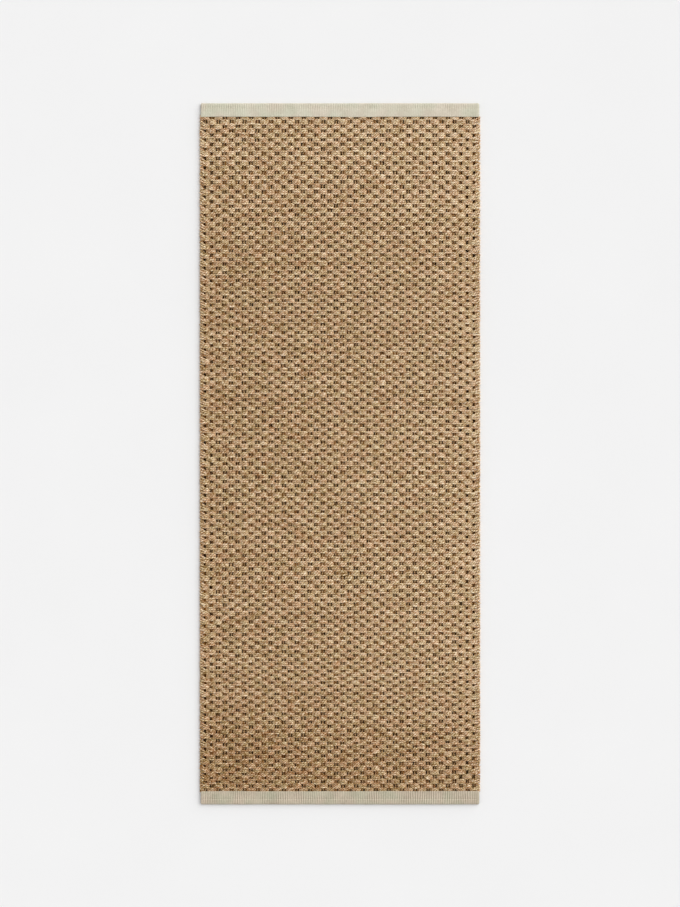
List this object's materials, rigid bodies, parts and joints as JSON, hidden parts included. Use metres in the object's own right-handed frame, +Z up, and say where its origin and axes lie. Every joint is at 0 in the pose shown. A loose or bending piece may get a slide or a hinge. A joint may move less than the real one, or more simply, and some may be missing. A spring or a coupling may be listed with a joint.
{
  "type": "runner rug",
  "caption": "Flat-woven jute runner rug: thick jute weft over and under pairs of dark warp yarns, with a folded cotton binding machine-stitched over each end.",
  "frame": {"origin": "centre of the rug on the floor, under its middle", "axes": "+X across the rug, +Y along its length, +Z up from the floor"},
  "size_m": [0.8, 2, 0.009],
  "materials": {
    "jute_weft": "rough natural jute yarn, matt",
    "dark_warp": "dark brown dyed jute yarn, matt",
    "cotton_binding": "unbleached cotton canvas, matt",
    "sewing_thread": "cream cotton sewing thread"
  },
  "bodies": {
    "root": {"weft_length_01": "jute_weft", "weft_length_02": "jute_weft", "weft_length_03": "jute_weft", "weft_length_04": "jute_weft", "weft_length_05": "jute_weft", "weft_length_06": "jute_weft", "weft_length_07": "jute_weft", "weft_length_08": "jute_weft", "warp_pair_01": "dark_warp", "warp_pair_02": "dark_warp", "warp_pair_03": "dark_warp", "warp_pair_04": "dark_warp", "warp_pair_05": "dark_warp", "warp_pair_06": "dark_warp", "warp_pair_07": "dark_warp", "warp_pair_08": "dark_warp", "warp_pair_09": "dark_warp", "warp_pair_10": "dark_warp", "warp_pair_11": "dark_warp", "warp_pair_12": "dark_warp", "warp_pair_13": "dark_warp", "warp_pair_14": "dark_warp", "warp_pair_15": "dark_warp", "warp_pair_16": "dark_warp", "warp_pair_17": "dark_warp", "warp_pair_18": "dark_warp", "warp_pair_19": "dark_warp", "warp_pair_20": "dark_warp", "warp_pair_21": "dark_warp", "warp_pair_22": "dark_warp", "warp_pair_23": "dark_warp", "warp_pair_24": "dark_warp", "warp_pair_25": "dark_warp", "warp_pair_26": "dark_warp", "warp_pair_27": "dark_warp", "warp_pair_28": "dark_warp", "warp_pair_29": "dark_warp", "warp_pair_30": "dark_warp", "warp_pair_31": "dark_warp", "warp_pair_32": "dark_warp", "warp_pair_33": "dark_warp", "warp_pair_34": "dark_warp", "warp_pair_35": "dark_warp", "warp_pair_36": "dark_warp", "warp_pair_37": "dark_warp", "warp_pair_38": "dark_warp", "warp_pair_39": "dark_warp", "warp_pair_40": "dark_warp", "warp_pair_41": "dark_warp", "warp_pair_42": "dark_warp", "near_binding": "cotton_binding", "far_binding": "cotton_binding", "near_needle_thread": "sewing_thread", "near_bobbin_thread": "sewing_thread", "far_needle_thread": "sewing_thread", "far_bobbin_thread": "sewing_thread"}
  },
  "joints": []
}
